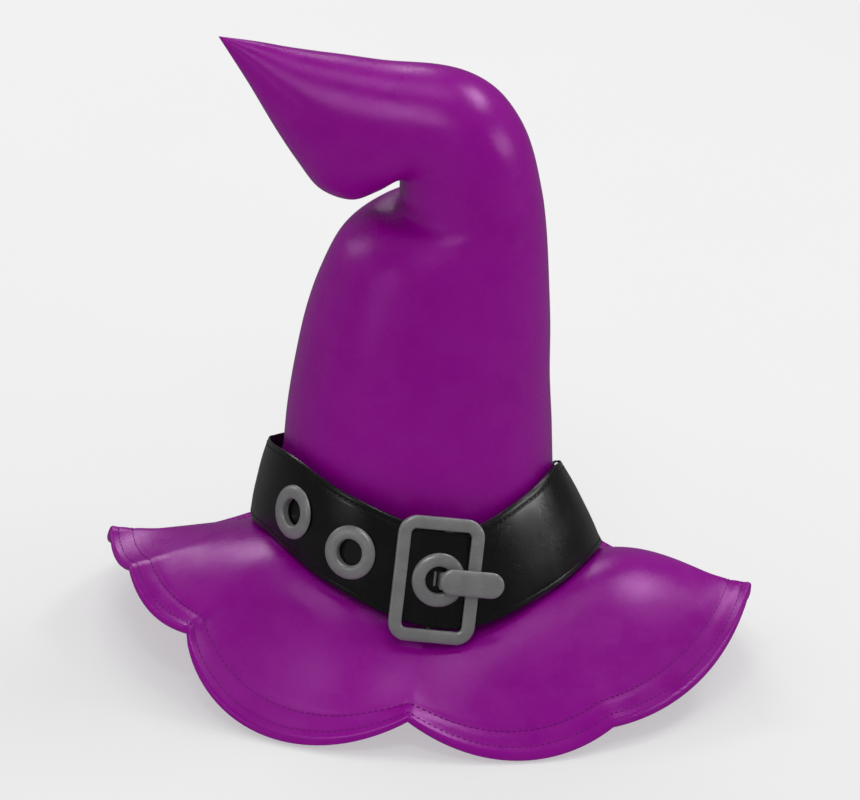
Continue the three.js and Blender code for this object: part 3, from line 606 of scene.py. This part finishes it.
def make_inside():
    angles = stations(4, lobed=False)
    sides = np.concatenate([[-0.001], np.linspace(0, 0.56, 5)])

    def band_rows(inset):
        rings = crown_rings(sides - 1, inset, angles)
        rings[0, :, 2] -= 4.5
        return rings
    grid = np.concatenate([band_rows(2.0), band_rows(3.4)[::-1]])
    sweatband = lofted("sweatband_leather", grid, matt_leather, "hat", wrap_rows=True)
    finish_piece(sweatband, "black_leather", "sweatband")
    row = band_rows(3.4)
    loop = np.concatenate([row[3], row[3][:1]])
    inward = np.stack([-loop[:, 0], -loop[:, 1], 0 * loop[:, 0]], -1)
    thread = stitches("sweatband_stitches", loop, unit(inward), black_thread, "hat", pitch=4.0, length=2.8)
    finish_piece(thread, "black_leather")

    places = np.concatenate([[-0.4, -0.2], np.linspace(0, 7, 36)])
    gather = 0.63 * np.sin(np.radians(angles * 20))
    rings = crown_rings(places, 5.6, angles)
    top = crown_rings(np.array([8.0]), 0, np.array([-90.0, 90.0])).mean((0, 1))
    fade = np.clip((places - 3) / 4, 0, 1)[:, None]
    rings = rings + surface_normals(rings) * (gather[None] * fade)[..., None]
    closing = [lerp(rings[-1], top[None], t) + np.array([0, 0, 2.5 * t * (1 - t)]) for t in (0.35, 0.7, 0.95)]
    outside = np.concatenate([rings, np.array(closing)])
    middle = outside.mean(1, keepdims=True)
    inside = outside + unit(middle - outside) * 0.8
    grid = np.concatenate([outside, inside[::-1]])
    liner = lofted("lining_bag", grid, lining, "hat", wrap_rows=True,
                   uv=with_last_row(arc_lengths(grid, len(angles) // 2)), flat_angle=70)
    finish_piece(liner, "lining_cloth", "crown_lining")


def round_wire(name, path, normal, radius, body, sides=10):
    """Steel wire along an open path."""
    _, side, up = path_frames(path, np.tile(normal, (len(path), 1)))
    turns = np.radians(np.arange(sides) * 360 / sides)
    spoke = side[:, None] * np.cos(turns)[None, :, None] + up[:, None] * np.sin(turns)[None, :, None]
    return lofted(name, path[:, None] + spoke * radius, steel, body, caps=True)


def make_wires():
    spine = np.linspace(0.5, 16.8, 90)
    path = np.array([crown_rings(np.array([p]), 4.2, np.array([180.0]))[0, 0] for p in spine])
    wire = round_wire("spine_wire", path, (0.0, 1.0, 0.0), 1.0, None)
    finish_piece(wire, "wire_steel", "crown_wire", "fold_wire", "tip_wire")
    blend_tip(wire)

    start, cut, half = JOINER["angle"], JOINER["cut"], JOINER["half"]
    between = start + cut + (stations(2.0) - start - cut) % 360
    between = np.sort(between[between < start + 360 - cut])
    whole = np.concatenate([[start + cut], between, [start + 360 - cut]])
    for name, node, angles, radius in (
        ("brim_wire_ring", "brim_wire", whole, WIRE_RADIUS),
        ("brim_wire_crimp", "brim_wire_joiner", start + half * np.linspace(-1, 1, 7), JOINER["outer"]),
    ):
        path = brim_point(angles, WIRE_ROW, BRIM_THICKNESS / 2)
        wire = round_wire(name, path, (0.0, 0.0, 1.0), radius, "hat")
        finish_piece(wire, "wire_steel", node)


def make_filling():
    angles = stations(6, lobed=False)
    grid = crown_rings(np.linspace(14.9, 16.7, 12), 6.4, angles)
    lumps = 0.8 * np.sin(np.radians(angles * 5))[None] * np.sin(np.linspace(0, 9, 12))[:, None]
    grid = grid + surface_normals(grid) * lumps[..., None]
    filling = lofted("tip_filling", grid, foam, "tip", caps=True)
    finish_piece(filling, "foam", "tip_wadding")


# ------------------------------------------------------------------ brim
def brim_rows(angles, insets, depths):
    """Rows of the brim at distances in from the rim."""
    width = rim(angles)[0] - BRIM_INNER
    return np.array([brim_point(angles, 1 - inset / width, depth) for inset, depth in zip(insets, depths)])


def make_brim():
    angles = stations(1.3)
    edge = BRIM_THICKNESS / 2
    roll = np.radians(np.linspace(90, -90, 11))
    outs = np.linspace(0, 1, 34) ** 0.9
    width = rim(angles)[0] - BRIM_INNER
    top = np.array([brim_point(angles, o * (1 - edge / width), 0) for o in outs])
    bottom = np.array([brim_point(angles, o * (1 - edge / width), BRIM_THICKNESS) for o in outs[::-1]])
    rolled = brim_rows(angles, edge - edge * np.cos(roll[1:-1]), edge - edge * np.sin(roll[1:-1]))
    for rows, sign in ((top, 1), (bottom[::-1], -1)):
        inset = (width[None] - outs[:, None] * (width - edge)[None])
        for line, deep in ((5.0, 0.35), (13.0, 0.5)):
            rows[..., 2] -= sign * deep * np.exp(-((inset - line) / 1.4) ** 2)
    grid = np.concatenate([top, rolled, bottom])
    loop = np.concatenate([grid, grid[:, :1]], 1)
    flat = loop[..., :2].copy()
    brim = lofted("brim_cloth", grid, cloth, "hat", wrap_rows=True, uv=with_last_row(flat), flat_angle=60)
    finish_piece(brim, "purple_cloth", "brim_top_cloth", "brim_under_cloth")

    inner_rows = [0.01, 0.15, 0.3, 0.45, 0.6, 0.77]
    layers = [np.array([brim_point(angles[::2], o, depth) for o in inner_rows])
              for depth in (1.4, BRIM_THICKNESS - 1.4)]
    core = lofted("brim_foam", np.concatenate([layers[0], layers[1][::-1]]), foam, "hat", wrap_rows=True)
    finish_piece(core, "foam", "brim_stiffener")

    up = np.array([0.0, 0.0, 1.0])
    for k, inset in enumerate((5.0, 13.0)):
        for face, depth, sign in (("top", 0.25, 1), ("under", BRIM_THICKNESS - 0.25, -1)):
            path = brim_rows(np.append(angles, angles[0] + 360), [inset], [depth])[0]
            normals = np.tile(up * sign, (len(path), 1))
            row = stitches(f"brim_stitches_{face}_{k + 1}", path, normals, purple_thread, "hat")
            finish_piece(row, "purple_cloth")


# ------------------------------------------------------------------ belt
def leather_profile(width, thick, bevel, drop):
    """Half of a belt's section: distances in from the edge, then heights of its outer face."""
    inset = np.array([0, 0.06, 0.22, 0.48, 0.8, 1.6, 2.3, 2.8, 3.3, 3.8, 4.6, 6, 8, 10.5, 13, 16, 19, 22])
    inset = np.append(inset, width / 2)
    edge = np.clip(1 - inset / 0.8, 0, 1)
    rounding = thick * 0.42 * (1 - np.sqrt(1 - edge ** 2))
    roll = drop * np.clip(1 - inset / bevel, 0, 1) ** 2
    groove = 0.22 * np.exp(-((inset - 3.3) / 0.55) ** 2)
    return inset, thick - rounding - roll - groove


def make_strap():
    width = BAND_RISE + BAND_EXTRA * 0.5 + 1.5
    inset, height = leather_profile(width, STRAP + 0.5, 21, 1.35)
    across = np.concatenate([inset, (width - inset)[::-1][1:]]) / width
    face = np.concatenate([height, height[::-1][1:]])
    back_across = np.array([1 - 0.3 / width, 0.75, 0.5, 0.25, 0.3 / width])
    section_across = np.concatenate([across, back_across])
    section_height = np.concatenate([face, np.zeros(5)])
    end = STRAP_LIFTS[-1][0]
    angles = np.concatenate([np.arange(STRAP_LIFTS[0][0], end - TONGUE, 1.2),
                             end - TONGUE * (1 - np.sin(np.radians(np.linspace(0, 90, 22))))])
    t = np.clip((angles - (end - TONGUE)) / TONGUE, 0, 1)
    edge = 0.44 * (1 - np.sqrt(1 - 0.96 * t * t))
    spread = edge[:, None] + section_across[None] * (1 - 2 * edge[:, None])
    grid = band_point(angles[:, None], spread, strap_lift(angles)[:, None] + section_height[None])
    strap = lofted("belt_leather", grid, leather, None, caps=True, flat_angle=50)
    punch_holes(strap, [(angle + 360, middle, 8.7) for angle, middle in EYELETS])
    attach(strap, "hat")
    finish_piece(strap, "black_leather", "belt_strap")

    for k, line in enumerate((3.3 / width, 1 - 3.3 / width)):
        span = np.arange(STRAP_LIFTS[0][0] + 2, end - TONGUE, 1.0)
        lift = strap_lift(span) + STRAP - 0.72
        path = band_point(span, line, lift)
        normals = unit(band_point(span, line, lift + 1) - path)
        row = stitches(f"belt_stitches_{k + 1}", path, normals, black_thread, "hat", pitch=3.8, length=2.7)
        finish_piece(row, "black_leather")


def punch_holes(obj, holes):
    """Cuts round holes through the strap's outer layer."""
    for angle, across, radius in holes:
        matrix = strap_matrix(angle, across)
        profile = [(0.001, -4.0), (radius, -4.0), (radius, 3.0), (0.001, 3.0)]
        cutter = lathe("punch", profile, leather, None, matrix, 40)
        cut = obj.modifiers.new("punch", "BOOLEAN")
        cut.operation = "DIFFERENCE"
        cut.object = cutter
        cut.solver = "EXACT"
        bpy.context.view_layer.objects.active = obj
        bpy.ops.object.modifier_apply(modifier=cut.name)
        bpy.data.objects.remove(cutter)
    obj.data.shade_smooth()
    obj.data.set_sharp_from_angle(angle=math.radians(50))


def make_eyelets():
    ring = [(7.8, -2.6), (7.8, 0.6), (7.95, 1.2), (8.4, 1.75), (9.2, 2.05), (10.6, 2.12), (12.4, 2.0),
            (13.9, 1.65), (15.0, 1.05), (15.6, 0.4), (15.7, -0.05), (15.2, -0.3), (12.5, -0.2),
            (9.2, -0.2), (8.7, -1.2), (8.6, -2.6)]
    # Dark leather disc set behind each eyelet's hole as painted shade: it makes the hole read dark where the
    # crown's cloth would otherwise show
    shade_disc_profile = [(0.01, -4.4), (8.5, -4.4), (8.5, -3.8), (7.5, -3.72), (4.0, -3.7), (0.01, -3.7)]
    for k, (angle, across) in enumerate(EYELETS):
        matrix = strap_matrix(angle + 360, across, sink=-0.45)
        eyelet = lathe(f"eyelet_ring_{k + 1}", ring, metal, "hat", matrix, 64)
        finish_piece(eyelet, "buckle_metal", f"eyelet_{k + 1}")
        # The dark disc behind the hole, painted shade for the eyelet's hole
        back = lathe(f"eyelet_shade_disc_{k + 1}", shade_disc_profile, matt_leather, "hat", matrix, 48)
        finish_piece(back, "black_leather")


def make_keeper():
    """Leather loop round the belt, a rounded band swept round the strap's section."""
    low, high, under, over = -0.037, 1.037, 0.6, 6.05
    belt, corner, wall = 52.0, 2.0, 0.42
    half_width, half_height = (high - low) / 2 * belt, (over - under) / 2
    loop = rounded(2 * half_width, 2 * half_height, corner, 5)
    direction = unit(loop - np.sign(loop) * [half_width - corner, half_height - corner])
    angles = KEEPER_ANGLE + np.linspace(-KEEPER_HALF, KEEPER_HALF, 13)
    swell = wall * np.sqrt(np.clip(1 - np.linspace(-1, 1, 13) ** 6, 0, 1))
    rows = []
    for sign in (1, -1):
        order = range(13) if sign == 1 else range(12, -1, -1)
        for k in order:
            shape = loop + direction * (sign * swell[k])
            rows.append(band_point(angles[k], 0.5 + shape[:, 0] / belt, (under + over) / 2 + shape[:, 1]))
    keeper = lofted("keeper_loop", np.array(rows), leather, "keeper", wrap_rows=True, flat_angle=60)
    finish_piece(keeper, "black_leather", "belt_keeper")


# ------------------------------------------------------------------ buckle
def make_buckle():
    matrix = buckle_matrix()
    width, height, bar = FRAME["width"], FRAME["height"], FRAME["rim"]
    outer = rounded(width, height, FRAME["corner"], 10)
    inner = rounded(width - 2 * bar, height - 2 * bar, FRAME["inner"], 10)
    section = [(0.0, 0.55), (0.01, 1.7), (0.05, 2.2), (0.12, 2.55), (0.25, 2.86), (0.5, 3.0), (0.75, 2.86),
               (0.88, 2.55), (0.95, 2.2), (0.99, 1.7), (1.0, 0.55), (0.95, 0.12), (0.85, 0.0), (0.15, 0.0),
               (0.05, 0.12)]
    rows = np.array([np.column_stack([lerp(outer, inner, s), np.full(len(outer), FRAME["lift"] + h)])
                     for s, h in section])
    frame_piece = lofted("buckle_rim", rows, metal, "buckle", wrap_rows=True, matrix=matrix, flat_angle=60)
    finish_piece(frame_piece, "buckle_metal", "buckle_frame")

    foot = BAR_LIFT - 1.5
    outline = rounded(LUG["width"], LUG["thick"], 0.9, 4)
    for k, end in enumerate((-1, 1)):
        levels = [(0.8, foot), (0.95, foot + 0.2), (1, foot + 0.6), (1, FRAME["lift"] + 0.6)]
        grid = np.array([np.column_stack([outline[:, 0] * s, outline[:, 1] * s + end * LUG["y"],
                                          np.full(len(outline), z)]) for s, z in levels])
        lug = lofted(f"buckle_lug_{k + 1}", grid, metal, "buckle", caps=True, matrix=matrix)
        finish_piece(lug, "buckle_metal")

    reach = LUG["y"] - LUG["thick"] / 2 - 0.35
    turned = matrix @ Matrix.Translation((0, 0, BAR_LIFT)) @ Matrix.Rotation(math.pi / 2, 4, "X")
    ends = [(0.01, -reach), (BAR_RADIUS - 0.25, -reach), (BAR_RADIUS, -reach + 0.25),
            (BAR_RADIUS, reach - 0.25), (BAR_RADIUS - 0.25, reach), (0.01, reach)]
    pin = lathe("centre_bar", ends, metal, "buckle", turned, 24)
    finish_piece(pin, "buckle_metal", "buckle_bar")


def make_prong():
    matrix = buckle_matrix()
    length, width = PRONG["end"] - PRONG["start"], PRONG["width"]
    middle = (PRONG["start"] + PRONG["end"]) / 2
    levels = [(1.4, 0.0), (0.5, 0.08), (0.1, 0.4), (0.0, 0.9), (0.0, 1.7), (0.25, 2.3), (0.8, 2.75),
              (1.8, 3.05), (3.6, 3.2), (6.5, 3.25)]
    rows = []
    for inset, rise in levels:
        outline = rounded(length - 2 * inset, width - 2 * inset, width / 2 - inset - 0.01, 12)
        rows.append(np.column_stack([outline[:, 0] + middle, outline[:, 1],
                                     np.full(len(outline), PRONG["lift"] + rise)]))
    pad = lofted("prong_pad", np.array(rows), metal, "prong", caps=True, matrix=matrix, flat_angle=50)
    finish_piece(pad, "buckle_metal", "buckle_prong")

    bore = BAR_RADIUS + 0.35
    outline = rounded(PRONG["stem"], 9, 1.2, 5)
    grid = np.array([np.column_stack([outline[:, 0] * s + bore + 0.15 + PRONG["stem"] / 2, outline[:, 1] * s,
                                      np.full(len(outline), z)])
                     for s, z in [(0.9, BAR_LIFT), (1, BAR_LIFT + 0.5), (1, PRONG["lift"] - 0.6),
                                  (1.12, PRONG["lift"] + 0.4)]])
    stem = lofted("prong_stem", grid, metal, "prong", caps=True, matrix=matrix)
    finish_piece(stem, "buckle_metal")
    turned = matrix @ Matrix.Translation((0, 0, BAR_LIFT)) @ Matrix.Rotation(math.pi / 2, 4, "X")
    collar = [(bore, -4.5), (bore + 1.0, -4.5), (bore + 1.3, -4.2), (bore + 1.3, 4.2), (bore + 1.0, 4.5),
              (bore, 4.5)]
    ring = lathe("prong_collar", collar, metal, "prong", turned, 28)
    finish_piece(ring, "buckle_metal")


# ------------------------------------------------------------------ nodes kept from the CAD
def dress_nodes():
    kept = {"buckle_chape": matt_leather, "chape_rivet_1": metal, "chape_rivet_2": metal,
            "eyelet_washer_1": metal, "eyelet_washer_2": metal, "eyelet_washer_3": metal}
    for name, look in kept.items():
        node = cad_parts[name]
        node.data.materials.clear()
        node.data.materials.append(look)


# ------------------------------------------------------------------ floor, light and camera
def make_stage():
    mesh = bpy.data.meshes.new("floor")
    reach = 60.0
    mesh.from_pydata([(-reach, -reach, 0), (reach, -reach, 0), (reach, reach, 0), (-reach, reach, 0)], [],
                     [(0, 1, 2, 3)])
    look = Look("pale_floor")
    speck = look.noise(3.0, 2.0)
    look.set(Base_Color=look.mix(speck, (0.35, 0.35, 0.35, 1), (0.37, 0.37, 0.37, 1)), Roughness=0.9,
             Specular_IOR_Level=0.1, Emission_Color=(1, 1, 1, 1), Emission_Strength=0.45)
    dark = look.add("BsdfDiffuse", {"Color": (0.10, 0.10, 0.10, 1)}).outputs[0]
    mirrored = look.add("LightPath").outputs["Is Glossy Ray"]
    both = look.add("MixShader", {0: mirrored, 1: look.shader.outputs[0], 2: dark}).outputs[0]
    look.put(look.tree.nodes["Material Output"].inputs["Surface"], both)
    mesh.materials.append(look.material)
    floor = bpy.data.objects.new("floor", mesh)
    floor.location = (0, 0, -0.0008)
    bpy.context.scene.collection.objects.link(floor)


# name, heading and rise in degrees, distance and size in metres, brightness
SOFTBOXES = [
    ("softbox_back_left", -160, 40, 1.9, (0.9, 0.3), 9.5),
    ("softbox_back_right", 124, 54, 1.9, (0.6, 0.35), 13.0),
    ("softbox_front_top", -10, 52, 2.2, (0.6, 0.26), 14.0),
    ("softbox_overhead", 180, 86, 2.0, (0.5, 0.2), 9.0),
    ("softbox_right", 88, 22, 1.8, (0.5, 0.22), 9.0),
    ("softbox_left", -112, 22, 1.8, (0.4, 0.22), 7.0),
    ("softbox_front_left", -50, 13, 2.2, (0.4, 0.22), 5.0),
]


def area_light(name, position, target, size, power):
    data = bpy.data.lights.new(name, "AREA")
    data.shape = "RECTANGLE"
    data.size, data.size_y = size
    data.energy = power
    lamp = bpy.data.objects.new(name, data)
    lamp.location = position
    lamp.rotation_mode = "QUATERNION"
    lamp.rotation_quaternion = (Vector(target) - Vector(position)).to_track_quat("-Z", "Y")
    lamp.visible_camera = False
    bpy.context.scene.collection.objects.link(lamp)


def make_light():
    world = bpy.data.worlds.new("studio")
    bpy.context.scene.world = world
    world.use_nodes = True
    tree = world.node_tree
    shade = tree.nodes["Background"]
    shade.inputs["Color"].default_value = (1, 1, 1, 1)
    rays = tree.nodes.new("ShaderNodeLightPath")
    seen = tree.nodes.new("ShaderNodeMapRange")
    seen.inputs["To Min"].default_value = 0.6
    seen.inputs["To Max"].default_value = 0.93
    tree.links.new(rays.outputs["Is Camera Ray"], seen.inputs["Value"])
    dim = tree.nodes.new("ShaderNodeMath")
    dim.operation = "MULTIPLY"
    glossy = tree.nodes.new("ShaderNodeMapRange")
    glossy.inputs["To Min"].default_value = 1.0
    glossy.inputs["To Max"].default_value = 0.15
    tree.links.new(rays.outputs["Is Glossy Ray"], glossy.inputs["Value"])
    tree.links.new(seen.outputs["Result"], dim.inputs[0])
    tree.links.new(glossy.outputs["Result"], dim.inputs[1])
    tree.links.new(dim.outputs[0], shade.inputs["Strength"])
    for name, heading, rise, distance, size, glow in SOFTBOXES:
        side, front = around(heading)
        flat = distance * math.cos(math.radians(rise))
        middle = Vector((0, 0, 0.12))
        position = middle + Vector((side * flat, -front * flat, distance * math.sin(math.radians(rise))))
        area_light(name, position, middle, size, math.pi * size[0] * size[1] * glow)


def make_camera():
    data = bpy.data.cameras.new("camera")
    data.lens = 600
    data.clip_start, data.clip_end = 0.5, 60
    width, tilt, roll = 0.4962, math.radians(25), math.radians(5.06)
    target = Vector((-0.0077, 0.0015, 0.1481))
    back = Vector((0, -math.cos(tilt), math.sin(tilt)))
    camera = bpy.data.objects.new("camera", data)
    camera.rotation_mode = "QUATERNION"
    camera.location = target + back * (width * data.lens / data.sensor_width)
    facing = (-back).to_track_quat("-Z", "Y")
    camera.rotation_quaternion = facing @ Matrix.Rotation(roll, 3, "Z").to_quaternion()
    bpy.context.scene.collection.objects.link(camera)
    bpy.context.scene.camera = camera


make_camera()
make_light()
make_stage()
make_crown()
make_inside()
make_wires()
make_filling()
make_brim()
make_strap()
make_eyelets()
make_keeper()
make_buckle()
make_prong()
dress_nodes()
bpy.context.scene.view_settings.view_transform = "Standard"
